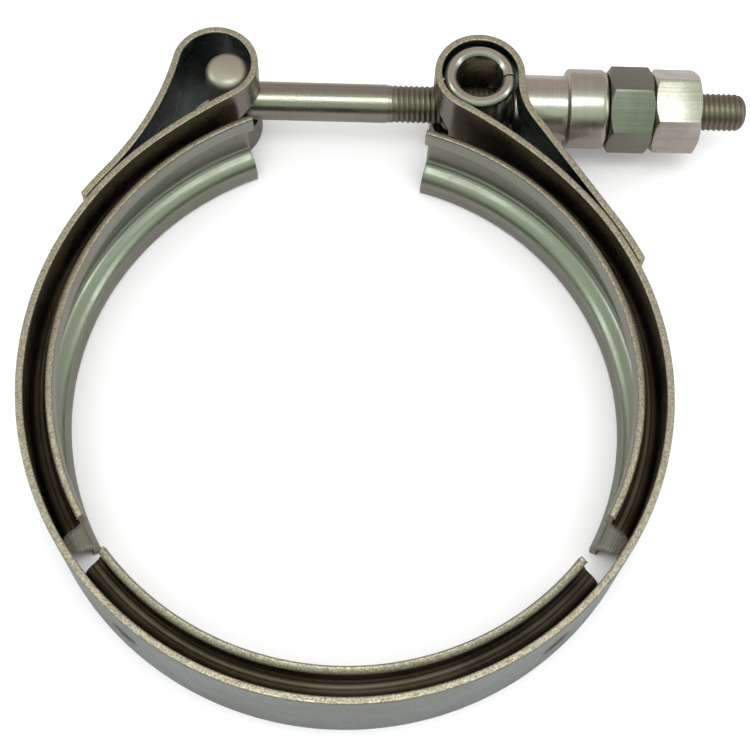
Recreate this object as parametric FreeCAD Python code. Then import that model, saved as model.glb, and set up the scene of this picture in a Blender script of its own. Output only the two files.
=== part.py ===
import FreeCAD, Part
import math
import os

# V-band clamp: one stainless strap with a loop at each end, three V-shaped
# retainers welded inside it, and a T-bolt that draws the two loops together.
# Millimetres. The origin is on the clamp's axis, halfway across the strap.
# +Z is the clamp's axis and +Y points at the T-bolt, which lies along +X.

V = FreeCAD.Vector
ORIGIN = V(0, 0, 0)
AXIS_X = V(1, 0, 0)
AXIS_Z = V(0, 0, 1)

# ---- strap ----
STRAP_R = 50.0              # outer radius of the round part
STRAP_T = 1.2               # sheet thickness
STRAP_W = 20.0              # width, along the clamp's axis
LAP_GAP = 0.06              # between the folded-back leg and the strap under it

# ---- T-bolt line ----
BOLT_RISE = 4.5             # from the round part's outside up to the bolt's axis
BOLT_SWING_DEG = 0.8        # the bolt's free swing, each way
TRUNNION_SWING_DEG = 1.5    # the trunnion's own, each way

# ---- loops ----
# Centre (out along X, and up from the round part's outside) and mean radius; what the
# strap's radius gains on its way there, and the angle up from X where that starts; the
# gentle bend that leads out to the loop; then the leg that folds back: its bend, its
# length down to the strap, and the length lapped there. Lengths of leg and lap run
# along the strap from under the loop's centre.
T_LOOP = dict(side=-1, x=23.0, rise=5.3, r=6.5, ease=3.0, ease_deg=-25.0, rise_r=100.0,
              bend_r=50.0, leg=25.0, lap=5.0)
TRUNNION_LOOP = dict(side=1, x=20.9, rise=4.8, r=6.9, ease=0.0, ease_deg=0.0, rise_r=76.0,
                     bend_r=12.6, leg=31.5, lap=8.0)

# ---- slots through the loops' walls ----
# How far from the loop's centre each starts, and its reach below and above the bolt.
T_SLOT = dict(start=1.7, below=5.9, above=5.4)
BOLT_SLOT = dict(start=3.0, below=5.6, above=5.6)
SLEEVE_SLOT = dict(start=2.0, spare=0.2)

# ---- retainers ----
RETAINER_DEPTH = 4.6        # from the strap's inside to the lips' inner land
RETAINER_T = 1.25           # sheet thickness
RETAINER_ARC_DEG = 103.0    # what each one spans on the round part
RETAINER_SETBACK = 0.08     # of its lips, inside the strap's edges
LEFT_MIDDLE_DEG = 159.5
BOTTOM_MIDDLE_DEG = 270.0
RIGHT_MIDDLE_DEG = 383.0
GROOVE_HALF_DEG = 20.0      # each wall, from the plane across the axis
LIP_LAND = 0.8              # width of the lip's inner land
LIP_ROLL = 3.0              # radius of the lip's rolled face
LIP_FLARE_DEG = 30.0        # the lip's turn outwards past its land
FLOOR_BEND = 1.5            # inside radius where a wall meets the floor

# ---- welds ----
SPOT_D = 6.5                # electrode mark over a retainer
SPOT_DEPTH = 0.35
SPOT_SPREAD_DEG = 40.0      # each side of the bottom retainer's middle
SIDE_SPOTS_DEG = (160.0, 200.0, 340.0, 380.0)
LAP_SPOT_D = 4.0            # smaller marks where a leg is lapped
LAP_SPOT_DEPTH = 0.22
LAP_SPOT_Z = 5.2
NUGGET_R = 1.7              # of the weld itself, between leg and strap

# ---- T-bolt ----
HEAD_R = 3.65               # barrel that turns in the left loop
HEAD_ROUND = 1.0
SHANK_R = 3.25
THREAD_R = 3.15             # over the crests
THREAD_L = 61.4             # from the tip
THREAD_STEP = 0.5
BOLT_L = 88.1               # from the barrel's axis to the tip
BOLT_TIP = 0.9

# ---- trunnion ----
TRUNNION_BORE_R = 3.9
TRUNNION_CHAMFER = 0.55
SEAM_W = 0.35
END_SETBACK = 0.1           # barrel and trunnion ends, inside the strap's edges

# ---- sleeve and nuts ----
SLEEVE_R = 5.5
SLEEVE_L = 16.3
COLLAR_R = 6.7
COLLAR_L = 7.05
COLLAR_ROUND = 1.3
COLLAR_EDGE = 0.4
SLEEVE_EDGE = 0.3
NUT_FLATS = 12.7
NUT_L = 7.5
LOCK_NUT_L = 7.9
NUT_TURN_DEG = 0.0          # a corner points straight up
LOCK_NUT_TURN_DEG = 19.0
NUT_CHAMFER_DEG = 30.0
NUT_FACE_INSET = 0.13       # the chamfer's circle, inside the flats
NUT_SINK = 0.5

# ---- clearances ----
RUNNING = 0.05              # nut on thread
SLEEVE_GAP = 0.10           # sleeve on thread
FACE_GAP = 0.05             # between faces that turn on each other
SLOT_GAP = 0.45             # beside the bolt and the sleeve in the strap's slots
CROSS_GAP = 0.12            # left round the bolt in the trunnion at full swing
SEAT_GAP = 0.12             # between the barrel and the loop's wall that it pulls on
TRUNNION_GAP = 0.45         # round the trunnion in its loop

# ---- worked out ----
strap_in_r = STRAP_R - STRAP_T
mean_r = STRAP_R - STRAP_T / 2
lap_rise = STRAP_T + LAP_GAP
lap_r = mean_r + lap_rise
half_w = STRAP_W / 2
lip_r = strap_in_r - RETAINER_DEPTH
lip_z = half_w - RETAINER_SETBACK - LIP_LAND - LIP_ROLL * math.sin(math.radians(LIP_FLARE_DEG))
ease_from = 180 - T_LOOP["ease_deg"]
bolt_y = STRAP_R + BOLT_RISE
pin_l = STRAP_W - 2 * END_SETBACK
head_play = T_LOOP["r"] - STRAP_T / 2 - HEAD_R - SEAT_GAP
head_x = math.sqrt(head_play ** 2 - (T_LOOP["rise"] - BOLT_RISE) ** 2) - T_LOOP["x"]
bolt_end = head_x + BOLT_L
trunnion_x = TRUNNION_LOOP["x"]
trunnion_r = TRUNNION_LOOP["r"] - STRAP_T / 2 - TRUNNION_GAP
swing_y = (trunnion_x - head_x) * math.sin(math.radians(BOLT_SWING_DEG))
tilt_y = trunnion_r * math.sin(math.radians(BOLT_SWING_DEG + TRUNNION_SWING_DEG))
cross_hole_r = THREAD_R + swing_y + tilt_y + CROSS_GAP
sleeve_x = trunnion_x + trunnion_r + 2 * FACE_GAP
collar_end = sleeve_x + SLEEVE_L
collar_x = collar_end - COLLAR_L
nut_x = collar_end + FACE_GAP
lock_nut_x = nut_x + NUT_L + FACE_GAP


def unit(deg):
    return V(math.cos(math.radians(deg)), math.sin(math.radians(deg)), 0)


def heading(vec):
    return math.degrees(math.atan2(vec.y, vec.x))


def arc(centre, r, start, end):
    """An arc of a flat path; it runs clockwise when end is below start."""
    return dict(centre=centre, r=r, start=start, end=end)


def line(p, q):
    return dict(p=p, q=q)


def beside(seg, d):
    """The edge that lies d to the left of a path segment, as travelled."""
    if "p" in seg:
        along = (seg["q"] - seg["p"]).normalize()
        shift = V(-along.y, along.x, 0) * d
        return Part.LineSegment(seg["p"] + shift, seg["q"] + shift).toShape()
    r = seg["r"] - d if seg["end"] > seg["start"] else seg["r"] + d
    middle = (seg["start"] + seg["end"]) / 2
    points = [seg["centre"] + unit(a) * r for a in (seg["start"], middle, seg["end"])]
    return Part.Arc(*points).toShape()


def sheet_face(path, thickness):
    """Flat outline of a bent sheet: both sides of its mean line and the two cut ends."""
    left = [beside(seg, thickness / 2) for seg in path]
    right = [beside(seg, -thickness / 2) for seg in path]
    first = Part.LineSegment(left[0].Vertexes[0].Point, right[0].Vertexes[0].Point).toShape()
    last = Part.LineSegment(left[-1].Vertexes[-1].Point, right[-1].Vertexes[-1].Point).toShape()
    return Part.Face(Part.Wire(Part.__sortEdges__(left + right + [first, last])))


def loop_centre(loop):
    return V(loop["x"], STRAP_R + loop["rise"], 0)


def eased_centre(loop):
    """Centre of the strap's curve beside a loop, on the +X side."""
    return unit(loop["ease_deg"]) * -loop["ease"]


def lap_angles(loop):
    """Where the leg touches down on the strap and where it ends, about that centre."""
    over = lap_r + loop["ease"]
    touch = heading(loop_centre(loop) - eased_centre(loop)) - math.degrees(loop["leg"] / over)
    return touch, touch - math.degrees(loop["lap"] / over)


def loop_path(loop):
    """Mean line from the round part, round a loop and back onto the strap.

    Worked out for the loop on the +X side: the round part eases out, a gentle rise
    leaves it and meets the loop, and a leg with one bend leads back to the lap.
    """
    start = eased_centre(loop)
    strap_r = mean_r + loop["ease"]
    over = lap_r + loop["ease"]
    centre = loop_centre(loop)
    from_start = centre - start
    touch, end = lap_angles(loop)
    r = loop["r"]
    rise_r = loop["rise_r"]
    d = from_start.Length
    reach = rise_r - strap_r
    cos_leave = ((rise_r + r) ** 2 - reach ** 2 - d ** 2) / (2 * reach * d)
    leave = heading(from_start) - math.degrees(math.acos(cos_leave))
    rise_centre = start - unit(leave) * reach
    rise_end = heading(centre - rise_centre)

    out = unit(touch)
    along = V(-out.y, out.x, 0)
    bend = loop["bend_r"]
    offset = over + bend - from_start.dot(out)
    run = from_start.dot(along) - math.sqrt((bend + r) ** 2 - offset ** 2)
    bend_centre = start + out * (over + bend) + along * run
    meet = heading(bend_centre - centre)

    return [arc(start, strap_r, loop["ease_deg"], leave),
            arc(rise_centre, rise_r, leave, rise_end),
            arc(centre, r, rise_end + 180, meet),
            arc(bend_centre, bend, meet + 180, touch + 180),
            line(bend_centre - out * bend, start + out * over),
            arc(start, over, touch, end)]


def mirrored(seg):
    """The same segment on the -X side."""
    def flip(p):
        return V(-p.x, p.y, 0)
    if "p" in seg:
        return line(flip(seg["p"]), flip(seg["q"]))
    return arc(flip(seg["centre"]), seg["r"], 180 - seg["start"], 180 - seg["end"])


def backwards(path):
    turned = [line(s["q"], s["p"]) if "p" in s else arc(s["centre"], s["r"], s["end"], s["start"])
              for s in path]
    return turned[::-1]


def strap_path():
    left = backwards([mirrored(seg) for seg in loop_path(T_LOOP)])
    round_part = arc(ORIGIN, mean_r, ease_from, 360 + TRUNNION_LOOP["ease_deg"])
    return left + [round_part] + loop_path(TRUNNION_LOOP)


def slot(loop, towards, start, below, above, half):
    """A round-ended slot along X through one wall of a loop, towards +X or -X.

    It starts that far from the loop's centre, and its height is given from the bolt.
    """
    centre_x = loop["side"] * loop["x"]
    x0 = centre_x + towards * start
    x1 = centre_x + towards * (loop["r"] + 2 * STRAP_T)
    y0 = bolt_y - below
    y1 = bolt_y + above
    corners = [V(x0, y0 + half, -half), V(x0, y1 - half, -half),
               V(x0, y1 - half, half), V(x0, y0 + half, half)]
    edges = [Part.LineSegment(corners[0], corners[1]).toShape(),
             Part.Arc(corners[1], V(x0, y1, 0), corners[2]).toShape(),
             Part.LineSegment(corners[2], corners[3]).toShape(),
             Part.Arc(corners[3], V(x0, y0, 0), corners[0]).toShape()]
    return Part.Face(Part.Wire(edges)).extrude(V(x1 - x0, 0, 0))


def over_strap(deg, height):
    """A point that far above the strap's mean line, and the way out from it.

    The angle runs from +X, round by the bottom where it passes 180.
    """
    if ease_from - 180 < deg < ease_from:
        centre = eased_centre(T_LOOP)
        centre.x *= T_LOOP["side"]
        return centre + unit(deg) * (mean_r + T_LOOP["ease"] + height), unit(deg)
    return unit(deg) * (mean_r + height), unit(deg)


def dish(deg, z, height, dia, depth):
    """A ball that leaves a shallow round mark in a face that far above the mean line."""
    ball_r = ((dia / 2) ** 2 + depth ** 2) / (2 * depth)
    return Part.makeSphere(ball_r, over_strap(deg, height - depth + ball_r)[0] + V(0, 0, z))


def lap_spots(loop):
    """Angles and heights of the welds that hold a folded-back leg."""
    middle = sum(lap_angles(loop)) / 2
    deg = 360 + middle if loop["side"] > 0 else 180 - middle
    return [(deg, z) for z in (-LAP_SPOT_Z, LAP_SPOT_Z)]


def make_strap():
    face = sheet_face(strap_path(), STRAP_T)
    face.translate(V(0, 0, -half_w))
    strap = face.extrude(V(0, 0, STRAP_W))

    bolt_half = SHANK_R + SLOT_GAP
    sleeve_half = SLEEVE_R + SLOT_GAP
    sleeve_reach = sleeve_half + swing_y + SLEEVE_SLOT["spare"]
    strap = strap.cut([
        slot(T_LOOP, 1, half=bolt_half, **T_SLOT),
        slot(TRUNNION_LOOP, -1, half=bolt_half, **BOLT_SLOT),
        slot(TRUNNION_LOOP, 1, SLEEVE_SLOT["start"], sleeve_reach, sleeve_reach, sleeve_half)])

    laps = lap_spots(T_LOOP) + lap_spots(TRUNNION_LOOP)
    nuggets = []
    for deg, z in laps:
        foot, out = over_strap(deg, 0)
        nuggets.append(Part.makeCylinder(NUGGET_R, STRAP_T, foot + V(0, 0, z), out))
    strap = strap.fuse(nuggets)

    spots = [BOTTOM_MIDDLE_DEG - SPOT_SPREAD_DEG, BOTTOM_MIDDLE_DEG + SPOT_SPREAD_DEG]
    marks = [dish(deg, 0, STRAP_T / 2, SPOT_D, SPOT_DEPTH) for deg in spots + list(SIDE_SPOTS_DEG)]
    marks += [dish(deg, z, lap_rise + STRAP_T / 2, LAP_SPOT_D, LAP_SPOT_DEPTH) for deg, z in laps]
    return strap.cut(marks).removeSplitter()


def retainer_path():
    """Half of a retainer's section, from the floor's middle out to one lip.

    X is the distance from the clamp's axis and Y the height along it.
    """
    half_t = RETAINER_T / 2
    wall = 90 - GROOVE_HALF_DEG
    floor_r = strap_in_r - half_t
    bend_r = FLOOR_BEND + half_t
    roll_r = LIP_ROLL - half_t
    roll_x = lip_r + LIP_ROLL
    wall_in = unit(wall)
    wall_along = V(-wall_in.y, wall_in.x, 0)
    wall_l = (floor_r - bend_r + (bend_r + roll_r) * wall_in.x - roll_x) / wall_in.y
    roll = V(roll_x, lip_z, 0)
    wall_top = roll - wall_in * roll_r
    wall_foot = wall_top - wall_along * wall_l
    bend = wall_foot - wall_in * bend_r
    flare = roll + V(0, LIP_LAND, 0)
    return [line(V(floor_r, 0, 0), V(floor_r, bend.y, 0)),
            arc(bend, bend_r, 0, wall),
            line(wall_foot, wall_top),
            arc(roll, roll_r, 180 + wall, 180),
            line(roll - V(roll_r, 0, 0), flare - V(roll_r, 0, 0)),
            arc(flare, roll_r, 180, 180 - LIP_FLARE_DEG)]


def rolled(centre, gain, start_deg, turn_deg):
    """A length of retainer bent about a centre, with its radius larger by a gain."""
    half = sheet_face(retainer_path(), RETAINER_T)
    half.translate(V(gain, 0, 0))
    half.rotate(ORIGIN, AXIS_X, 90)
    half.rotate(ORIGIN, AXIS_Z, start_deg)
    half.translate(centre)
    top = half.revolve(centre, AXIS_Z, turn_deg)
    return [top, top.mirror(ORIGIN, AXIS_Z)]


def make_retainer(middle_deg):
    """One retainer. Where the strap eases out, its length there turns through less."""
    start = middle_deg - RETAINER_ARC_DEG / 2
    eased = max(0.0, ease_from - start)
    pieces = rolled(ORIGIN, 0, start + eased, RETAINER_ARC_DEG - eased)
    if eased:
        gain = T_LOOP["ease"]
        turn = eased * strap_in_r / (strap_in_r + gain)
        pieces += rolled(unit(ease_from) * -gain, gain, ease_from - turn, turn)
    return pieces[0].fuse(pieces[1:]).removeSplitter()


def turned(profile, origin):
    """A solid of revolution about a line along X; profile holds (x, radius) pairs."""
    points = [V(profile[0][0], 0, 0)] + [V(x, r, 0) for x, r in profile] + [V(profile[-1][0], 0, 0)]
    points.append(points[0])
    solid = Part.Face(Part.makePolygon(points)).revolve(ORIGIN, AXIS_X, 360)
    solid.translate(origin)
    return solid


def end_edges(shape, z):
    """Circular edges lying in the plane at height z."""
    return [e for e in shape.Edges
            if all(abs(v.Point.z - z) < 1e-6 for v in e.Vertexes) and isinstance(e.Curve, Part.Circle)]


def make_t_bolt():
    barrel = Part.makeCylinder(HEAD_R, pin_l, V(head_x, bolt_y, -pin_l / 2), AXIS_Z)
    barrel = barrel.makeFillet(HEAD_ROUND, end_edges(barrel, pin_l / 2) + end_edges(barrel, -pin_l / 2))
    thread_x = bolt_end - THREAD_L
    shank = turned([(head_x, SHANK_R), (thread_x - THREAD_STEP, SHANK_R),
                    (thread_x, THREAD_R), (bolt_end - BOLT_TIP, THREAD_R),
                    (bolt_end, THREAD_R - BOLT_TIP)], V(0, bolt_y, 0))
    return barrel.fuse(shank).removeSplitter()


def make_trunnion():
    foot = V(trunnion_x, bolt_y, -pin_l / 2)
    tube = Part.makeCylinder(trunnion_r, pin_l, foot, AXIS_Z).cut(
        Part.makeCylinder(TRUNNION_BORE_R, pin_l, foot, AXIS_Z))
    rims = end_edges(tube, pin_l / 2) + end_edges(tube, -pin_l / 2)
    tube = tube.makeChamfer(TRUNNION_CHAMFER, rims)
    cross = Part.makeCylinder(cross_hole_r, 3 * trunnion_r, V(trunnion_x - 1.5 * trunnion_r, bolt_y, 0), AXIS_X)
    seam = Part.makeBox(2 * trunnion_r, SEAM_W, 2 * STRAP_W, V(trunnion_x, bolt_y - SEAM_W / 2, -STRAP_W))
    return tube.cut([cross, seam])


def make_sleeve():
    body = turned([(sleeve_x, SLEEVE_R - SLEEVE_EDGE), (sleeve_x + SLEEVE_EDGE, SLEEVE_R),
                   (collar_x, SLEEVE_R), (collar_x, COLLAR_R - COLLAR_EDGE),
                   (collar_x + COLLAR_EDGE, COLLAR_R), (collar_end, COLLAR_R)],
                  V(0, bolt_y, 0))
    rim = [e for e in body.Edges if isinstance(e.Curve, Part.Circle)
           and abs(e.Curve.Center.x - collar_end) < 1e-6 and e.Curve.Radius > SLEEVE_R]
    body = body.makeFillet(COLLAR_ROUND, rim)
    bore = Part.makeCylinder(THREAD_R + SLEEVE_GAP, collar_end - sleeve_x, V(sleeve_x, bolt_y, 0), AXIS_X)
    return body.cut(bore)


def make_nut(x, length, turn_deg):
    """A hexagon nut with both faces chamfered and its bore countersunk."""
    corner = NUT_FLATS / math.sqrt(3)
    ring = [V(x, bolt_y + corner * math.cos(math.radians(a + turn_deg)),
              corner * math.sin(math.radians(a + turn_deg))) for a in range(0, 420, 60)]
    hexagon = Part.Face(Part.makePolygon(ring)).extrude(V(length, 0, 0))
    face_r = NUT_FLATS / 2 - NUT_FACE_INSET
    slope = (corner - face_r) * math.tan(math.radians(NUT_CHAMFER_DEG))
    envelope = turned([(x, face_r), (x + slope, corner), (x + length - slope, corner),
                       (x + length, face_r)], V(0, bolt_y, 0))
    bore_r = THREAD_R + RUNNING
    bore = turned([(x, bore_r + NUT_SINK), (x + NUT_SINK, bore_r),
                   (x + length - NUT_SINK, bore_r), (x + length, bore_r + NUT_SINK)],
                  V(0, bolt_y, 0))
    return hexagon.common(envelope).cut(bore)


def parts():
    made = {"strap": make_strap()}
    made["retainer_left"] = make_retainer(LEFT_MIDDLE_DEG)
    made["retainer_bottom"] = make_retainer(BOTTOM_MIDDLE_DEG)
    made["retainer_right"] = make_retainer(RIGHT_MIDDLE_DEG)
    made["t_bolt"] = make_t_bolt()
    made["trunnion"] = make_trunnion()
    made["sleeve"] = make_sleeve()
    made["nut"] = make_nut(nut_x, NUT_L, NUT_TURN_DEG)
    made["lock_nut"] = make_nut(lock_nut_x, LOCK_NUT_L, LOCK_NUT_TURN_DEG)
    return made


if __name__ == "__main__":
    os.makedirs("parts", exist_ok=True)
    for name, shape in parts().items():
        shape.exportStep(os.path.join("parts", name + ".step"))
        box = shape.BoundBox
        print("%-16s solids %d valid %s volume %.1f  x %.2f..%.2f y %.2f..%.2f z %.2f..%.2f" % (
            name, len(shape.Solids), shape.isValid(), shape.Volume,
            box.XMin, box.XMax, box.YMin, box.YMax, box.ZMin, box.ZMax))
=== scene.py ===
import math

import bpy
import bmesh
import numpy as np
from bpy.props import FloatProperty, FloatVectorProperty, IntProperty, PointerProperty
from mathutils import Matrix, Vector


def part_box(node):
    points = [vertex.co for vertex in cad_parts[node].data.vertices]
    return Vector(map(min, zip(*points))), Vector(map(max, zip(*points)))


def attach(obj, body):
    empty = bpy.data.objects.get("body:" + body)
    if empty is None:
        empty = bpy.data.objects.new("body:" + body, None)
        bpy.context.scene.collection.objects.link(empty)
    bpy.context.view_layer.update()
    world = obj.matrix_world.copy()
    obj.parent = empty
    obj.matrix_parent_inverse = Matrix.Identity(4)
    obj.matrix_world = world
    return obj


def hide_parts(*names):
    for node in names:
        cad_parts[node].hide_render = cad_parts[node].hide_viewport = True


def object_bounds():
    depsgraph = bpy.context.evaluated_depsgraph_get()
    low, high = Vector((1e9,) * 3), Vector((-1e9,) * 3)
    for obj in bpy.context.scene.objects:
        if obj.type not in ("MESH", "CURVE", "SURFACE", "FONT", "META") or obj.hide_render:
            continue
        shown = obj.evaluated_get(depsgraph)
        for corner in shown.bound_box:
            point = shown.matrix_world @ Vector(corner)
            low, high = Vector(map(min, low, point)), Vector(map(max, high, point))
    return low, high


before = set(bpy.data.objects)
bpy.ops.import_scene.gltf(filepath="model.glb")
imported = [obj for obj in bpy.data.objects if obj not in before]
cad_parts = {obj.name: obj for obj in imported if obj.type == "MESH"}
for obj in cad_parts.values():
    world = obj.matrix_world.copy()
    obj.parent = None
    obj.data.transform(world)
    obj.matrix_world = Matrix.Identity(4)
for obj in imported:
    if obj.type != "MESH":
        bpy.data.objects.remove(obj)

bl_info = {
    "name": "V-band clamp",
    "version": (1, 0, 0),
    "blender": (4, 5, 0),
    "location": "3D View > Sidebar > V-band clamp",
    "description": "Builds a stainless V-band clamp with its retainers, T-bolt and nuts",
    "category": "Object",
}

CAD_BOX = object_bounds()
NODE_BOX = {node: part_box(node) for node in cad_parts}
MM = 0.001
BOLT_Y = (NODE_BOX["trunnion"][0][1] + NODE_BOX["trunnion"][1][1]) / 2
BOLT_TIP_X = NODE_BOX["t_bolt"][1][0]
MERGE = 1e-7                                # points nearer than this are one point
RING_MARKS_DEG = (230, 310, 200, 20, 340)   # weld marks on the round part
EASED_MARK_DEG = 160                        # and on the part that eases out to the T-bolt's loop
LAP_MARK_Z = 5.2 * MM                       # the laps' weld marks, each side of the middle
RETAINERS = {"retainer_left": 159.5, "retainer_bottom": 270.0, "retainer_right": 383.0}


# ---------------------------------------------------------------- sizes and colours

def number(name, default, description, **kind):
    """A described number, which the four below give a unit or a range."""
    return FloatProperty(name=name, description=description, default=default, **kind)


def length(name, default_mm, description):
    return number(name, default_mm * MM, description, min=0.0, unit="LENGTH", precision=5)


def angle(name, default_deg, description):
    return number(name, math.radians(default_deg), description, unit="ROTATION")


def factor(name, default, description):
    return number(name, default, description, min=0.0, max=1.0, subtype="FACTOR")


def colour(name, default, description):
    return FloatVectorProperty(name=name, description=description, default=default, size=3,
                               min=0.0, max=1.0, subtype="COLOR")


class StrapSizes(bpy.types.PropertyGroup):
    """The strip, its weld marks and its slots"""
    radius: length("Radius", 50.0, "Outside radius of the round part")
    thickness: length("Thickness", 1.2, "Thickness of the strip")
    width: length("Width", 20.0, "Width along the clamp's axis")
    lap_gap: length("Lap gap", 0.06, "Gap between a folded leg and the strap under it")
    edge_round: length("Edge round", 0.26, "Radius rolled onto the strip's sheared edges")
    mark_size: length("Weld mark", 2.8, "Radius of the electrode marks over the retainers")
    mark_depth: length("Weld mark depth", 0.35, "Depth of the electrode marks over the retainers")
    slot_gap: length("Slot gap", 0.45, "Gap beside the bolt and sleeve in the slots")


class LoopSizes(bpy.types.PropertyGroup):
    """One of the strap's two loops, starting as the T-bolt's"""
    x: length("Centre, along X", 23.0, "Distance of the loop's centre from the middle plane")
    rise: length("Centre, above strap", 5.3, "Height of the loop's centre above the round part")
    radius: length("Radius", 6.5, "Mean radius of the loop")
    ease: length("Ease", 3.0, "Radius gained by the strap on its way to the loop")
    ease_from: angle("Ease from", -25.0, "Angle up from X where the strap starts to ease out")
    rise_radius: length("Rise radius", 100.0, "Radius of the bend that leaves the round part")
    bend_radius: length("Leg bend", 50.0, "Radius of the bend in the folded leg")
    leg: length("Leg", 25.0, "Length of the leg before it touches the strap")
    lap: length("Lap", 5.0, "Length of leg welded flat on the strap")


class RetainerSizes(bpy.types.PropertyGroup):
    """The V-shaped retainers"""
    depth: length("Depth", 4.6, "From the strap's inside to the lips")
    thickness: length("Thickness", 1.25, "Thickness of the sheet")
    arc: angle("Arc", 103.0, "Angle that one retainer spans")
    groove_half: angle("Groove half angle", 20.0, "Each wall from the plane across the axis")
    setback: length("Setback", 0.08, "Of the lips, inside the strap's edges")
    lip_land: length("Lip land", 0.8, "Width of the flat land on the lip")
    lip_roll: length("Lip roll", 3.0, "Radius of the lip's rolled face")
    lip_flare: angle("Lip flare", 30.0, "Turn of the lip past its land")
    floor_bend: length("Floor bend", 1.5, "Inside radius where a wall meets the floor")


class BoltSizes(bpy.types.PropertyGroup):
    """The T-bolt"""
    barrel_radius: length("Barrel radius", 3.65, "Radius of the T-head's barrel")
    barrel_round: length("Barrel round", 1.6, "Rounding of the barrel's ends")
    barrel_lump: length("Barrel lump", 0.45, "Unevenness of the forged ends")
    shank_radius: length("Shank radius", 3.25, "Radius of the plain shank")
    crest_radius: length("Crest radius", 3.15, "Radius over the thread's crests")
    thread_length: length("Thread length", 61.4, "Length of thread from the tip")
    thread_depth: length("Thread depth", 0.22, "Depth of the thread")
    pitch: length("Pitch", 25.4 / 28, "Thread pitch, 28 to the inch")
    tip: length("Tip round", 2.0, "Length of the rounding at the bolt's end")
    tip_drop: length("Tip drop", 2.1, "Radius lost in the rounding at the bolt's end")


class FastenerSizes(bpy.types.PropertyGroup):
    """The trunnion, the sleeve and the nuts"""
    trunnion_bore: length("Trunnion bore", 3.9, "Radius of the trunnion's bore")
    trunnion_chamfer: length("Trunnion chamfer", 0.55, "Chamfer on the trunnion's rims")
    seam: length("Seam", 0.35, "Width of the trunnion's rolled seam")
    cross_hole: length("Cross hole", 4.1, "Radius of the hole for the bolt")
    sleeve_radius: length("Sleeve radius", 5.5, "Outside radius of the sleeve")
    collar_length: length("Collar length", 7.05, "Length of the sleeve's collar")
    collar_round: length("Collar round", 1.3, "Rounding of the collar's outer end")
    sleeve_bore: length("Sleeve bore", 3.25, "Radius of the sleeve's bore")
    nut_flats: length("Across flats", 12.7, "Width of both nuts across their flats")
    nut_bore: length("Nut bore", 3.2, "Radius of the nuts' bore")
    nut_chamfer: angle("Nut chamfer", 30.0, "Angle of the chamfer on the nuts' faces")
    nut_turn: angle("Nut turn", -25.5, "Turn of the inner nut, from a corner straight up")
    lock_nut_turn: angle("Lock nut turn", 16.5, "Turn of the outer nut, from the same place")


class SteelFinish(bpy.types.PropertyGroup):
    """Colours and roughness of the steel and the floor"""
    strap: colour("Strap, inside", (0.30, 0.285, 0.245), "Inner face of the rolled strip")
    # Strap, outside: the same strip as the inside, painted darker and bluer as painted reflection
    # of dim surroundings.
    strap_back: colour("Strap, outside", (0.225, 0.285, 0.28), "Outer face of the rolled strip")
    retainer: colour("Retainers, inside", (0.35, 0.372, 0.322), "Inner face of the sheet")
    # Retainers, outside: the same sheet painted darker and browner as painted shade in the deep
    # channel between the lips and the strap.
    retainer_back: colour("Retainers, outside", (0.20, 0.175, 0.13), "Outer face of the sheet")
    warm: colour("Warm cast", (0.36, 0.30, 0.26), "Heat-tinted and handled areas")
    sheared: colour("Sheared edge", (0.47, 0.415, 0.335), "Torn grain on a sheared edge")
    weld: colour("Weld mark", (0.03, 0.032, 0.03), "Heat-darkened floor of a spot weld")
    bolt: colour("Bolt", (0.36, 0.34, 0.30), "Drawn bar")
    thread: colour("Thread", (0.26, 0.225, 0.175), "Rolled flanks and crests of the thread")
    # Thread roots: the bolt painted darker between its crests, as painted shade in the roots.
    root: colour("Thread roots", (0.17, 0.15, 0.12), "Oil and grime between the threads")
    forged: colour("Forged head", (0.54, 0.49, 0.42), "Duller skin of the forged barrel")
    # Forged head: its rougher skin is real, and its lighter colour is painted light on the barrel,
    # which sits in the loop's shade.
    bright: colour("Bright", (0.58, 0.545, 0.50), "Freshly turned faces")
    nut: colour("Nut", (0.25, 0.26, 0.225), "Duller hexagon bar")
    floor: colour("Floor", (0.94, 0.94, 0.94), "Studio floor")
    floor_mirrored: colour("Floor, mirrored", (0.46, 0.445, 0.435), "The floor as steel shows it")
    strap_roughness: factor("Strap roughness", 0.24, "Roughness of the rolled strip")
    retainer_roughness: factor("Retainer roughness", 0.26, "Roughness of the roll-formed sheet")
    bar_roughness: factor("Bar roughness", 0.22, "Roughness of the drawn and turned pieces")


class StudioSettings(bpy.types.PropertyGroup):
    """The camera, the lights and the room that the steel mirrors"""
    lens: number("Lens", 76.8, "Focal length in millimetres")
    camera_x: number("Camera X", -0.0001, "Place along X", unit="LENGTH")
    camera_y: number("Camera Y", -0.09297, "Place along Y", unit="LENGTH")
    camera_z: number("Camera Z", 0.23491, "Place along Z", unit="LENGTH")
    pitch: angle("Camera pitch", 22.49, "Tilt of the view from straight down")
    yaw: angle("Camera yaw", 1.02, "Turn of the view to the side")
    roll: angle("Camera roll", 1.324, "Roll of the view")
    canopy: number("Canopy", 12.0, "Watts of the soft canopy over the floor")
    key: number("Key light", 1.1, "Watts of the panel overhead")
    side: number("Side lights", 0.55, "Watts of the side panels")
    haze: colour("Haze", (0.97, 0.97, 0.97), "Pale light from all round")
    far_wall: colour("Far wall", (0.50, 0.455, 0.42), "Far side of the room")
    near_wall: colour("Near wall", (0.62, 0.76, 0.60), "Viewer's side of the room")
    skirting: colour("Skirting", (0.06, 0.06, 0.05), "Foot of the walls")


class ClampSettings(bpy.types.PropertyGroup):
    """Everything that the panel shows"""
    strap: PointerProperty(type=StrapSizes)
    t_loop: PointerProperty(type=LoopSizes)
    trunnion_loop: PointerProperty(type=LoopSizes)
    retainer: PointerProperty(type=RetainerSizes)
    bolt: PointerProperty(type=BoltSizes)
    fastener: PointerProperty(type=FastenerSizes)
    finish: PointerProperty(type=SteelFinish)
    studio: PointerProperty(type=StudioSettings)
    profile_steps: IntProperty(name="Strap width steps", description="Divisions across the strip",
                               default=36, min=8, max=60)


# ---------------------------------------------------------------- surfaces on a grid

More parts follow.
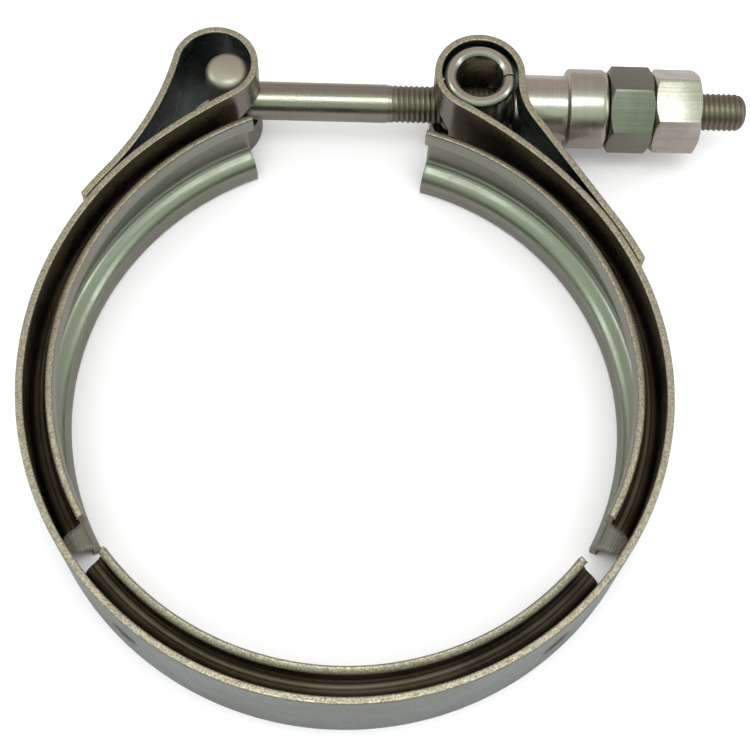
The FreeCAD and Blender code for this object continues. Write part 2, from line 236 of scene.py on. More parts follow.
def grid_surface(points, u, v, wrap_u=False, wrap_v=True, marks=None, ngons=()):
    """Faces over a grid: points[i, j] is the surface at u[i], v[j].

    A wrapped direction joins its last row to its first, and its u or v then holds one
    value more than it has rows. marks holds named numbers per point, and ngons the end faces.
    """
    rows, cols = points.shape[:2]
    i = np.arange(rows if wrap_u else rows - 1)[:, None]
    j = np.arange(cols if wrap_v else cols - 1)[None, :]
    corners = [(i, j), (i + 1, j), (i + 1, j + 1), (i, j + 1)]
    quads = np.stack([(a % rows) * cols + b % cols for a, b in corners], -1).reshape(-1, 4)
    uv = np.stack([np.stack([u[a] + 0 * b, v[b] + 0 * a], -1) for a, b in corners], 2)
    return dict(points=points.reshape(-1, 3), quads=quads, uv=uv.reshape(-1, 2),
                marks={k: m.reshape(-1) for k, m in (marks or {}).items()}, ngons=list(ngons))


def join_surfaces(*parts):
    """Several grids as one, with their points numbered on."""
    offset, quads, ngons = 0, [], []
    for part in parts:
        quads.append(part["quads"] + offset)
        ngons += [np.asarray(n) + offset for n in part["ngons"]]
        offset += len(part["points"])
    names = sorted({k for part in parts for k in part["marks"]})
    marks = {k: np.concatenate([part["marks"].get(k, np.zeros(len(part["points"])))
                                for part in parts]) for k in names}
    return dict(points=np.concatenate([p["points"] for p in parts]), quads=np.concatenate(quads),
                uv=np.concatenate([p["uv"] for p in parts]), marks=marks, ngons=ngons)


def signed_volume(points, quads):
    """Six times the volume inside the faces, negative if they point inwards."""
    a, b, c, d = (points[quads[:, k]] for k in range(4))
    return float(np.sum(a * np.cross(b, c)) + np.sum(a * np.cross(c, d)))


def make_mesh(name, surface, smooth_deg=35.0):
    """A mesh object from a grid: outward faces, merged seams, smooth but for its corners."""
    points, quads, uv = surface["points"], surface["quads"], surface["uv"]
    if signed_volume(points, quads) < 0:
        quads = quads[:, ::-1]
        uv = uv.reshape(-1, 4, 2)[:, ::-1].reshape(-1, 2)
    mesh = bpy.data.meshes.new(name)
    ngons = [n.tolist() for n in surface["ngons"]]
    mesh.from_pydata(points.tolist(), [], quads.tolist() + ngons)
    layer = mesh.uv_layers.new(name="run")
    flat = np.zeros((len(mesh.loops), 2), np.float32)
    flat[:len(uv)] = uv
    layer.data.foreach_set("uv", flat.ravel())
    for key, values in surface["marks"].items():
        attribute = mesh.attributes.new(key, "FLOAT", "POINT")
        attribute.data.foreach_set("value", values.astype(np.float32))
    work = bmesh.new()
    work.from_mesh(mesh)
    bmesh.ops.remove_doubles(work, verts=work.verts, dist=MERGE)
    bmesh.ops.dissolve_degenerate(work, edges=work.edges, dist=MERGE)
    if ngons:
        bmesh.ops.recalc_face_normals(work, faces=work.faces)
    work.to_mesh(mesh)
    work.free()
    mesh.update()
    obj = bpy.data.objects.new(name, mesh)
    bpy.context.scene.collection.objects.link(obj)
    soften(obj, smooth_deg)
    return obj


def soften(obj, smooth_deg):
    """Smooth shading, apart from edges sharper than an angle."""
    obj.data.shade_smooth()
    obj.data.set_sharp_from_angle(angle=math.radians(smooth_deg))


def apply_modifiers(obj):
    """Replaces a mesh by what its modifiers make of it."""
    graph = bpy.context.evaluated_depsgraph_get()
    graph.update()
    made = bpy.data.meshes.new_from_object(obj.evaluated_get(graph),
                                           preserve_all_data_layers=True, depsgraph=graph)
    obj.modifiers.clear()
    obj.data = made


def cut_away(obj, cutters):
    """Takes closed shapes out of a mesh."""
    for cutter in cutters:
        modifier = obj.modifiers.new("cut", "BOOLEAN")
        modifier.operation, modifier.solver, modifier.object = "DIFFERENCE", "EXACT", cutter
    apply_modifiers(obj)
    for cutter in cutters:
        mesh = cutter.data
        bpy.data.objects.remove(cutter)
        bpy.data.meshes.remove(mesh)


def round_edges(obj, width, angle_deg, segments=2):
    """A small rounded edge wherever two faces meet at more than an angle."""
    bevel = obj.modifiers.new("broken edge", "BEVEL")
    bevel.width, bevel.segments, bevel.limit_method = width, segments, "ANGLE"
    bevel.angle_limit = math.radians(angle_deg)
    apply_modifiers(obj)
    soften(obj, 40.0)


def full_turn(count):
    """Angles round a whole circle, without the last."""
    return np.linspace(0, 2 * np.pi, count, endpoint=False)


def part_turn(start_deg, end_deg, count):
    """Angles from one to another, with both."""
    return np.radians(np.linspace(start_deg, end_deg, count))


def perimeter(section):
    """Length travelled round a closed section, at each point and back at the first."""
    closed = np.vstack([section, section[:1]])
    return np.concatenate([[0], np.cumsum(np.linalg.norm(np.diff(closed, axis=0), axis=1))])


def end_faces(rows, count):
    """The two faces that close a tube: its first row of points and its last."""
    return [np.arange(count), np.arange(count)[::-1] + (rows - 1) * count]


def revolve(profile, axis_point, axis, turns=None, steps=96):
    """A closed section carried round an axis, or from end to end of the turns it is given.

    The section is pairs of (distance along the axis, radius). The point at angle a is the
    axis point + axis * distance + (cos a * first side + sin a * second side) * radius.
    """
    profile = np.asarray(profile, float)
    along = np.asarray(axis, float)
    side = np.array([0.0, 1.0, 0.0]) if abs(along[0]) > 0.5 else np.array([1.0, 0.0, 0.0])
    other = np.cross(along, side)
    closed = turns is None
    a = full_turn(steps)[:, None] if closed else turns
    spoke = np.cos(a)[..., None] * side + np.sin(a)[..., None] * other
    points = np.asarray(axis_point) + profile[None, :, :1] * along + profile[None, :, 1:] * spoke
    u = np.linspace(0, 1, len(a) + closed) * 2 * np.pi * profile[:, 1].max()
    return grid_surface(points, u, perimeter(profile), wrap_u=closed,
                        ngons=[] if closed else end_faces(len(a), len(profile)))


def prism(name, x, outline):
    """A closed mesh between two places along X, with one outline of (y, z) at both."""
    points = np.stack([np.column_stack([np.full(len(outline), value), outline]) for value in x])
    return make_mesh(name, grid_surface(points, np.arange(2.0), np.arange(len(outline) + 1.0),
                                        ngons=end_faces(2, len(outline))))


# ---------------------------------------------------------------- bent sheet

def arc_run(centre, radius, start, end, step):
    """An arc of a flat path: centre + radius (cos a, sin a), with its left-hand normals."""
    count = max(3, int(math.ceil(abs(end - start) * radius / step)))
    a = np.linspace(start, end, count + 1)
    out = np.stack([np.cos(a), np.sin(a)], 1)
    return np.asarray(centre) + radius * out, out * (-1.0 if end > start else 1.0)


def line_run(p, q, step):
    """A straight part of a flat path: p + (q - p) t, with its left-hand normals."""
    p, q = np.asarray(p, float), np.asarray(q, float)
    span = np.linalg.norm(q - p)
    t = np.linspace(0, 1, max(2, int(math.ceil(span / step))) + 1)[:, None]
    along = (q - p) / span
    return p + (q - p) * t, np.repeat([[-along[1], along[0]]], len(t), axis=0)


def chain(runs):
    """Runs end to end as one path: points, left-hand normals and length travelled."""
    points = np.concatenate([runs[0][0]] + [r[0][1:] for r in runs[1:]])
    left = np.concatenate([runs[0][1]] + [r[1][1:] for r in runs[1:]])
    travelled = np.concatenate([[0], np.cumsum(np.linalg.norm(np.diff(points, axis=0), axis=1))])
    return points, left, travelled


def unit2(a):
    """The direction at an angle from X."""
    return np.array([math.cos(a), math.sin(a)])


def eased_curve(strap, loop):
    """Centre and mean radius of the strap's curve beside a loop, on the +X side."""
    return -loop.ease * unit2(loop.ease_from), strap.radius - strap.thickness / 2 + loop.ease


def lap_angles(strap, loop):
    """Angles where a folded leg touches the strap and where it ends, about that centre."""
    start, strap_r = eased_curve(strap, loop)
    over = strap_r + strap.thickness + strap.lap_gap
    x, y = np.array([loop.x, strap.radius + loop.rise]) - start
    touch = math.atan2(y, x) - loop.leg / over
    return touch, touch - loop.lap / over


def loop_runs(strap, loop, step):
    """The strap easing out, a gentle rise, the loop, and the leg back to its lap, at +X."""
    start, strap_r = eased_curve(strap, loop)
    over = strap_r + strap.thickness + strap.lap_gap
    centre = np.array([loop.x, strap.radius + loop.rise])
    away = centre - start
    far = np.linalg.norm(away)
    reach = loop.rise_radius - strap_r
    cos_leave = ((loop.rise_radius + loop.radius) ** 2 - reach ** 2 - far ** 2) / (2 * reach * far)
    leave = math.atan2(away[1], away[0]) - math.acos(cos_leave)
    rise_centre = start - reach * unit2(leave)
    rise_end = math.atan2(*(centre - rise_centre)[::-1])
    touch, end = lap_angles(strap, loop)
    out = unit2(touch)
    along = np.array([-out[1], out[0]])
    bend = loop.bend_radius
    offset = over + bend - away @ out
    run = away @ along - math.sqrt((bend + loop.radius) ** 2 - offset ** 2)
    bend_centre = start + out * (over + bend) + along * run
    meet = math.atan2(*(bend_centre - centre)[::-1])
    return [arc_run(start, strap_r, loop.ease_from, leave, step),
            arc_run(rise_centre, loop.rise_radius, leave, rise_end, step),
            arc_run(centre, loop.radius, rise_end + math.pi, meet, step / 2),
            arc_run(bend_centre, bend, meet + math.pi, touch + math.pi, step),
            line_run(bend_centre - out * bend, start + out * over, step),
            arc_run(start, over, touch, end, step)]


def mirror_run(run):
    """The same run on the -X side, travelled the other way."""
    points, left = run
    flip = np.array([-1.0, 1.0])
    return (points * flip)[::-1], (left * flip)[::-1]


def strap_line(settings, step):
    """Mean line of the strip: left lap, left loop, round part, right loop, right lap."""
    strap = settings.strap
    left = [mirror_run(r) for r in loop_runs(strap, settings.t_loop, step)][::-1]
    round_part = arc_run((0, 0), strap.radius - strap.thickness / 2,
                         math.pi - settings.t_loop.ease_from,
                         2 * math.pi + settings.trunnion_loop.ease_from, step)
    return chain(left + [round_part] + loop_runs(strap, settings.trunnion_loop, step))


def strip_section(thickness, width, corner, across):
    """Rounded oblong section of the strip: (offset to the left, height) and its marks.

    Corners are quarter rounds. "sheared" is 1 on the sheared edges, and "back" on the outer face.
    """
    t, w = thickness / 2 - corner, width / 2 - corner
    side = np.linspace(-w, w, across + 1)
    edge = np.linspace(t, -t, 5)[1:-1]
    turn = part_turn(0, 90, 5)
    half = np.concatenate([
        np.stack([np.full_like(side, t + corner), side], 1),
        np.stack([t + corner * np.cos(turn[1:]), w + corner * np.sin(turn[1:])], 1),
        np.stack([edge, np.full_like(edge, w + corner)], 1),
        np.stack([-t - corner * np.sin(turn[:-1]), w + corner * np.cos(turn[:-1])], 1)])
    section = np.concatenate([half, -half])
    sheared = np.clip((np.abs(section[:, 1]) - (width / 2 - 0.7 * corner)) / (0.6 * corner), 0, 1)
    back = np.clip(0.5 - section[:, 0] / thickness, 0, 1)
    return section, {"sheared": sheared, "back": back}


def ladder(count, end):
    """Faces that fill a thin closed outline whose last points, end of them, turn round one tip.

    Point k of one side is joined to point (count - end - 1 - k) of the other, tip to tip.
    """
    last = count - end - 1
    k = np.arange(-(end + 1) // 2, last // 2)
    rungs = np.stack([k, k + 1, last - k - 1, last - k], 1) % count
    return [rungs[0, :3], *rungs[1:-1], rungs[-1, [0, 1, 3]]]


def sweep(path, section, marks, corner, dent=None, cap=None):
    """A closed section carried along a flat path, with its two ends rounded and capped.

    A point is path(s) + left(s) * offset, at the section's height. Near an end the section
    shrinks inwards by corner * (1 - cos t) at corner * (1 - sin t) from it, as t goes from
    90 degrees to none. dent moves the points of the open part.
    """
    line, left, run = path
    turn = part_turn(90, 0, 5)
    near = corner * (1 - np.sin(turn))
    inner = run[(run > 2.5 * corner) & (run < run[-1] - 2.5 * corner)]
    s = np.concatenate([near, inner, run[-1] - near[::-1]])
    shrink = corner * (1 - np.cos(turn))
    shrink = np.concatenate([shrink, np.zeros(len(inner)), shrink[::-1]])
    at = np.stack([np.interp(s, run, line[:, k]) for k in (0, 1)], 1)
    side = np.stack([np.interp(s, run, left[:, k]) for k in (0, 1)], 1)
    side /= np.linalg.norm(side, axis=1)[:, None]
    ahead = np.roll(section, -1, axis=0) - np.roll(section, 1, axis=0)
    ahead /= np.linalg.norm(ahead, axis=1)[:, None]
    inwards = np.stack([-ahead[:, 1], ahead[:, 0]], 1)
    x, y = section[:, 0], section[:, 1]
    if np.sum(x * np.roll(y, -1) - np.roll(x, -1) * y) < 0:
        inwards = -inwards
    shape = section[None] + shrink[:, None, None] * inwards[None]
    points = np.concatenate([at[:, None] + side[:, None] * shape[..., :1], shape[..., 1:]], -1)
    if dent is not None:
        points = dent(points)
    spread = {name: np.broadcast_to(mark[None, :], shape.shape[:2]) for name, mark in marks.items()}
    spread["sheared"] = np.maximum(spread["sheared"], (shrink > 0.3 * corner)[:, None])
    count = len(section)
    cap = cap or [np.arange(count)]
    far_cap = [face[::-1] + (len(s) - 1) * count for face in cap]
    return grid_surface(points, s, perimeter(section), marks=spread, ngons=cap + far_cap)


def electrode_mark(distance, radius):
    """Depth, from 0 to 1, of a round flat-bottomed mark with a slightly raised rim."""
    r = distance / radius
    return np.clip(1 - r ** 4, 0, 1) - 0.16 * np.exp(-((r - 1.12) / 0.16) ** 2)


def slot_cutter(strap, loop, side, towards, start, below, above, half):
    """A round-ended slot along X through one wall of a loop, from start out of its middle.

    below and above are its reach from the bolt's axis, and half is half its width.
    """
    x = side * loop.x + towards * np.array([start, loop.radius + 2 * strap.thickness])
    low, high = BOLT_Y - below + half, BOLT_Y + above - half
    a = part_turn(0, 180, 17)
    y, z = half * np.sin(a), half * np.cos(a)
    ends = [np.stack([high + y, z], 1), np.stack([low - y, -z], 1)]
    return prism("slot", x, np.concatenate(ends))


# ---------------------------------------------------------------- steel materials

# How fine the textures are: noise cells to the metre, along each axis or along all three.
FINE_STREAKS, BROAD_STREAKS = (55.0, 9000.0, 9000.0), (18.0, 1700.0, 1700.0)
BACK_LINES = (4.0, 2300.0, 1.0)
SCRATCHES = ((0.5, (90.0, 7600.0, 90.0)), (-0.9, (120.0, 9100.0, 120.0)))   # each with its turn
SHEET_CLOUDS, BAR_CLOUDS, OIL_SPOTS = 75.0, 160.0, 1100.0
CRYSTALS, TORN_LUMPS, RINGS = 5200.0, 4200.0, 5200.0


def wire(tree, node, inputs):
    """Plugs a node's inputs, each with another socket's value or with one of its own."""
    for key, value in inputs.items():
        socket = node.inputs[key]
        if isinstance(value, bpy.types.NodeSocket):
            tree.links.new(value, socket)
        else:
            socket.default_value = (*value, 1.0) if socket.type == "RGBA" else value
    return node


def shader_node(tree, kind, inputs):
    """Adds a node with its inputs plugged."""
    return wire(tree, tree.nodes.new("ShaderNode" + kind), inputs)


def mapped(tree, vector, **how):
    """A vector moved, turned or stretched, by Location, Rotation or Scale."""
    return shader_node(tree, "Mapping", {"Vector": vector, **how}).outputs["Vector"]


def noise(tree, vector, scale, detail=3.0, rough=0.55, distortion=0.0):
    """Soft noise from 0 to 1 over a vector."""
    return shader_node(tree, "TexNoise", {
        "Vector": vector, "Scale": scale, "Detail": detail, "Roughness": rough,
        "Distortion": distortion}).outputs["Fac"]


def ramp(tree, value, low, high, to_low=0.0, to_high=1.0):
    """A value eased from to_low, where it is low, to to_high, where it is high."""
    node = shader_node(tree, "MapRange", {"Value": value, "From Min": low, "From Max": high,
                                          "To Min": to_low, "To Max": to_high})
    node.interpolation_type = "SMOOTHSTEP"
    return node.outputs["Result"]


def calc(tree, kind, *values):
    """One step of arithmetic on numbers or sockets."""
    node = tree.nodes.new("ShaderNodeMath")
    node.operation = kind
    return wire(tree, node, dict(enumerate(values))).outputs[0]


def add_up(tree, total, *parts):
    """A number and every part times its own weight."""
    for value, weight in parts:
        total = calc(tree, "MULTIPLY_ADD", value, weight, total)
    return total


def blend(tree, amount, first, second, kind="MIX"):
    """One colour mixed with, or multiplied by, another."""
    node = tree.nodes.new("ShaderNodeMix")
    node.data_type, node.blend_type = "RGBA", kind
    return wire(tree, node, {"Factor": amount, "A": first, "B": second}).outputs["Result"]


def attribute(tree, name):
    """A number that the mesh holds at each point."""
    node = tree.nodes.new("ShaderNodeAttribute")
    node.attribute_name = name
    return node.outputs["Fac"]


def drawn_grain(tree, vector, amount):
    """Long streaks, fine and broad, that run along X of the vector."""
    fine = noise(tree, mapped(tree, vector, Scale=FINE_STREAKS), 1.0, 2.0)
    broad = noise(tree, mapped(tree, vector, Scale=BROAD_STREAKS), 1.0, 3.0)
    both = calc(tree, "MULTIPLY_ADD", fine, 0.45, calc(tree, "MULTIPLY", broad, 0.55))
    return [calc(tree, "MULTIPLY", calc(tree, "SUBTRACT", both, 0.5), amount)]


def handling_patina(tree, vector, size):
    """Soft clouds of warmer, duller steel, and small oil spots."""
    cloud = noise(tree, vector, size, 4.0, 0.6, 0.4)
    spots = noise(tree, vector, OIL_SPOTS, 2.0, 0.5)
    return [ramp(tree, cloud, 0.38, 0.66), ramp(tree, spots, 0.62, 0.72)]


def sheared_grain(tree, vector, scale):
    """Torn metal that sparkles, in small light and dark crystals."""
    cells = shader_node(tree, "TexVoronoi", {"Vector": vector, "Scale": scale}).outputs["Color"]
    tone = shader_node(tree, "SeparateColor", {"Color": cells}).outputs
    rough = noise(tree, vector, TORN_LUMPS, 2.0)
    return [tone["Red"], calc(tree, "MULTIPLY_ADD", tone["Green"], 0.6, rough)]


def stray_scratches(tree, vector):
    """Thin bright lines lying at two odd angles."""
    lines = []
    for turn, size in SCRATCHES:
        turned = mapped(tree, vector, Rotation=(turn, turn * 0.6, turn))
        lines.append(noise(tree, mapped(tree, turned, Scale=size), 1.0, 1.0, 0.4))
    return [calc(tree, "MAXIMUM", *(ramp(tree, line, 0.70, 0.76) for line in lines))]


def turning_rings(tree, vector, amount):
    """Turning marks: fine rings about Z of the vector."""
    radius = shader_node(tree, "VectorMath", {0: mapped(tree, vector, Scale=(1.0, 1.0, 0.0))})
    radius.operation = "LENGTH"
    height = shader_node(tree, "SeparateXYZ", {0: vector}).outputs["Z"]
    place = shader_node(tree, "CombineXYZ", {0: radius.outputs["Value"], 1: height}).outputs[0]
    rings = noise(tree, place, RINGS, 3.0, 0.6)
    return [calc(tree, "MULTIPLY", calc(tree, "SUBTRACT", rings, 0.5), amount)]


# The shared effects: what makes each, the numbers it takes beside a vector, what it gives.
EFFECTS = {"Drawn grain": (drawn_grain, ["Amount"], ["Streaks"]),
           "Handling patina": (handling_patina, ["Size"], ["Cloud", "Spots"]),
           "Sheared grain": (sheared_grain, ["Scale"], ["Sparkle", "Height"]),
           "Stray scratches": (stray_scratches, [], ["Scratches"]),
           "Turning rings": (turning_rings, ["Amount"], ["Rings"])}


def make_group(name):
    """Builds the node group of a shared effect."""
    make, numbers, results = EFFECTS[name]
    group = bpy.data.node_groups.new(name, "ShaderNodeTree")
    group.interface.new_socket("Vector", in_out="INPUT", socket_type="NodeSocketVector")
    for label in numbers:
        group.interface.new_socket(label, in_out="INPUT", socket_type="NodeSocketFloat")
    for label in results:
        group.interface.new_socket(label, in_out="OUTPUT", socket_type="NodeSocketFloat")
    start, end = group.nodes.new("NodeGroupInput"), group.nodes.new("NodeGroupOutput")
    made = make(group, *(start.outputs[label] for label in ["Vector", *numbers]))
    wire(group, end, dict(zip(results, made)))
    return group


def use_group(tree, name, **values):
    """Places a shared effect in a material, and builds it the first time."""
    group = bpy.data.node_groups.get(name) or make_group(name)
    node = tree.nodes.new("ShaderNodeGroup")
    node.node_tree = group
    return wire(tree, node, values).outputs


def steel(name, roughness):
    """A metal material, with its tree, its shader and its coordinates."""
    material = bpy.data.materials.new(name)
    material.use_nodes = True
    tree = material.node_tree
    shader = wire(tree, tree.nodes["Principled BSDF"], {"Metallic": 1.0, "Roughness": roughness})
    return material, tree, shader, tree.nodes.new("ShaderNodeTexCoord").outputs


def finish_shader(tree, shader, base, roughness, height, strength, distance):
    """Plugs a shader's colour and roughness, and a bump of some strength and depth."""
    bump = shader_node(tree, "Bump", {"Strength": strength, "Distance": distance,
                                      "Height": height})
    wire(tree, shader, {"Base Color": base, "Roughness": roughness,
                        "Normal": bump.outputs["Normal"]})


def clouded(tree, base, finish, cloud, amount):
    """A colour with warm clouds in it."""
    return blend(tree, amount, base, blend(tree, cloud, base, finish.warm))


def sheet_steel(name, finish, face, back, roughness, back_lines):
    """Rolled sheet: a face and a lined back whose colour is painted reflection and painted shade,
    grain along its run, warm clouds, sheared edges.
    """
    material, tree, shader, coordinates = steel(name, roughness)
    run, place = coordinates["UV"], coordinates["Object"]
    streaks = use_group(tree, "Drawn grain", Vector=run, Amount=1.0)["Streaks"]
    patina = use_group(tree, "Handling patina", Vector=place, Size=SHEET_CLOUDS)
    scratches = use_group(tree, "Stray scratches", Vector=place)["Scratches"]
    torn = use_group(tree, "Sheared grain", Vector=place, Scale=CRYSTALS)
    edge, on_back = attribute(tree, "sheared"), attribute(tree, "back")

    # The outer face's colour is painted light: painted reflection on the strap, painted shade on
    # the retainers.
    base = clouded(tree, blend(tree, on_back, face, back), finish, patina["Cloud"], 0.30)
    shade = ramp(tree, streaks, -0.16, 0.16, 0.90, 1.09)
    streaked = blend(tree, 1.0, base, shade, "MULTIPLY")
    long_noise = noise(tree, mapped(tree, run, Scale=BACK_LINES), 1.0, 2.0)
    lines = ramp(tree, long_noise, 0.36, 0.62, 1.0 - back_lines, 1.0 + back_lines)
    lined = blend(tree, on_back, (1.0, 1.0, 1.0), lines)
    skin = blend(tree, 1.0, streaked, lined, "MULTIPLY")
    welded = blend(tree, attribute(tree, "weld"), skin, finish.weld)
    crystal = ramp(tree, torn["Sparkle"], 0.1, 0.95, 0.74, 1.35)
    rim = blend(tree, 1.0, finish.sheared, crystal, "MULTIPLY")

    worn = add_up(tree, roughness, (patina["Cloud"], 0.10), (streaks, 0.30),
                  (patina["Spots"], 0.10), (scratches, 0.12))
    rim_rough = ramp(tree, torn["Sparkle"], 0.0, 1.0, 0.52, 0.34)
    rough = shader_node(tree, "Mix", {"Factor": edge, "A": worn, "B": rim_rough})
    height = calc(tree, "ADD", calc(tree, "MULTIPLY", streaks, 0.05),
                  calc(tree, "MULTIPLY", torn["Height"], edge))
    finish_shader(tree, shader, blend(tree, edge, welded, rim), rough.outputs["Result"],
                  height, 0.55, 0.08 * MM)
    return material


def bar_steel(name, finish, base, roughness, rings, along=0.0, upright_x=None):
    """Bar stock: turning rings about its axis, drawn grain along it, clouds and scratches.

    Its axis is the bolt's, or stands upright at an x on the bolt's line. Gives the
    material, its tree, its shader, and the colour and roughness in it.
    """
    material, tree, shader, coordinates = steel(name, roughness)
    place = coordinates["Object"]
    vector = mapped(tree, place, Location=(-(upright_x or 0.0), -BOLT_Y, 0.0))
    about = vector
    if upright_x is None:
        about = mapped(tree, vector, Rotation=(0, math.radians(-90), 0))
    ring = use_group(tree, "Turning rings", Vector=about, Amount=rings)["Rings"]
    streaks = use_group(tree, "Drawn grain", Vector=vector, Amount=along)["Streaks"]
    cloud = use_group(tree, "Handling patina", Vector=place, Size=BAR_CLOUDS)["Cloud"]
    scratches = use_group(tree, "Stray scratches", Vector=place)["Scratches"]
    marks = calc(tree, "ADD", ring, streaks)
    shade = ramp(tree, marks, -0.2, 0.2, 0.85, 1.13)
    shaded = blend(tree, 1.0, clouded(tree, base, finish, cloud, 0.35), shade, "MULTIPLY")
    worn = add_up(tree, roughness, (cloud, 0.09), (marks, 0.25), (scratches, 0.08))
    finish_shader(tree, shader, shaded, worn, marks, 0.35, 0.06 * MM)
    return material, tree, shader, shaded, worn


def thread_steel(name, finish, roughness):
    """The T-bolt: a forged head with its colour painted lighter as painted light, drawn bar, and
    roots between the thread's crests painted darker as painted shade.
    """
    material, tree, shader, tone, rough = bar_steel(
        name, finish, finish.bolt, roughness, rings=0.25, along=0.8)
    root, threaded, forged = (attribute(tree, kind) for kind in ("root", "thread", "forged"))
    # The barrel is painted lighter as painted light, and the thread roots darker as painted shade.
    for where, skin in ((threaded, finish.thread), (forged, finish.forged), (root, finish.root)):
        tone = blend(tree, where, tone, skin)
    rough = add_up(tree, rough, (forged, 0.20), (threaded, 0.12), (root, 0.12))
    wire(tree, shader, {"Base Color": tone, "Roughness": rough})
    return material


def floor_material(finish):
    """A plain pale sweep, which bright steel shows greyer than it is."""
    material = bpy.data.materials.new("Pale sweep")
    material.use_nodes = True
    tree = material.node_tree
    mirrored = tree.nodes.new("ShaderNodeLightPath").outputs["Is Glossy Ray"]
    wire(tree, tree.nodes["Principled BSDF"], {
        "Base Color": blend(tree, mirrored, finish.floor, finish.floor_mirrored),
        "Roughness": 0.6, "Specular IOR Level": 0.2})
    return material


# ---------------------------------------------------------------- pieces

def place_piece(obj, material, body, node):
    """Gives a finished piece its steel and the body it moves with, and hides the CAD node it stands
    for.
    """
    obj.data.materials.clear()
    obj.data.materials.append(material)
    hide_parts(node)
    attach(obj, body)


class CLAMP_OT_strap(bpy.types.Operator):
    """Bends the strip round the clamp and its two loops, slots it and marks the welds"""
    bl_idname = "clamp.strap"
    bl_label = "Strap"

    def execute(self, context):
        settings = context.scene.clamp
        strap, finish = settings.strap, settings.finish
        section, marks = strip_section(strap.thickness, strap.width, strap.edge_round,
                                       settings.profile_steps)
        surface = sweep(strap_line(settings, 0.65 * MM), section, marks, 0.2 * MM,
                        lambda points: self.press_marks(settings, points, section[:, 0] < 0))
        surface["marks"]["weld"] = self.tint_marks(settings, surface["points"])
        surface["points"] = np.clip(surface["points"], *CAD_BOX)
        obj = make_mesh("strap_strip", surface)
        cut_away(obj, self.slots(settings))
        soften(obj, 38.0)
        material = sheet_steel("Rolled strip steel", finish, finish.strap, finish.strap_back,
                               finish.strap_roughness, 0.06)
        place_piece(obj, material, "clamp", "strap")
        return {"FINISHED"}

    @staticmethod
    def welds(settings):
        """Each mark: its curve's centre, its face's radius, its angle, height, size and depth."""
        strap = settings.strap
        size, depth, half = strap.mark_size, strap.mark_depth, strap.thickness / 2
        middle = np.zeros(2)
        left, left_r = eased_curve(strap, settings.t_loop)
        left = left * (-1, 1)
        made = [(middle, strap.radius, deg, 0.0, size, depth) for deg in RING_MARKS_DEG]
        made.append((left, left_r + half, EASED_MARK_DEG, 0.0, size, depth))
        over = half + strap.thickness + strap.lap_gap
        for loop, centre, r in ((settings.t_loop, left, left_r),
                                (settings.trunnion_loop, middle, strap.radius - half)):
            deg = math.degrees(sum(lap_angles(strap, loop)) / 2)
            deg = 180 - deg if centre is left else deg
            made += [(centre, r + over, deg, z, 0.7 * size, 0.6 * depth)
                     for z in (-LAP_MARK_Z, LAP_MARK_Z)]
        return made

    @staticmethod
    def from_weld(points, weld, reach):
        """How far each point is from a mark along its face, whether on that face, and its spoke."""
        centre, level, deg, z = weld[:4]
        spoke = points[..., :2] - centre
        radius = np.linalg.norm(spoke, axis=-1)
        turn = np.arctan2(spoke[..., 1], spoke[..., 0]) - math.radians(deg)
        turn = np.angle(np.exp(1j * turn))
        distance = np.hypot(turn * level, points[..., 2] - z)
        return distance, np.abs(radius - level) < reach, spoke, radius

    @classmethod
    def press_marks(cls, settings, points, outer):
        """Sinks the outer face by each electrode mark's depth, towards its curve's centre."""
        out = points.copy()
        for weld in cls.welds(settings):
            distance, near, spoke, radius = cls.from_weld(points, weld, 0.05 * MM)
            sink = weld[5] * np.maximum(electrode_mark(distance, weld[4]), 0)
            out[..., :2] -= spoke * (np.where(outer[None, :] & near, sink, 0) / radius)[..., None]
        return out

    @classmethod
    def tint_marks(cls, settings, points):
        """How heat-darkened each point is: most in a ring just inside a mark's rim."""
        tint = np.zeros(len(points))
        for weld in cls.welds(settings):
            distance, near, _, _ = cls.from_weld(points, weld, weld[5] + 0.05 * MM)
            r = distance / weld[4]
            inside, outwards = np.clip((1.0 - r) / 0.2, 0, 1), np.clip((r - 0.25) / 0.4, 0, 1)
            ring = inside * (0.5 + 0.5 * outwards)
            tint = np.maximum(tint, np.where(near, ring, 0))
        return tint

    @staticmethod
    def slots(settings):
        """Cutters for the bolt's slot in each loop and the sleeve's slot in the right one."""
        strap, left, right = settings.strap, settings.t_loop, settings.trunnion_loop
        for_bolt = settings.bolt.shank_radius + strap.slot_gap
        for_sleeve = settings.fastener.sleeve_radius + strap.slot_gap
        reach = for_sleeve + 0.788 * MM
        return [slot_cutter(strap, left, -1, 1, start=1.7 * MM, below=5.9 * MM, above=5.4 * MM,
                            half=for_bolt),
                slot_cutter(strap, right, 1, -1, start=3.0 * MM, below=5.6 * MM, above=5.6 * MM,
                            half=for_bolt),
                slot_cutter(strap, right, 1, 1, start=2.0 * MM, below=reach, above=reach,
                            half=for_sleeve)]


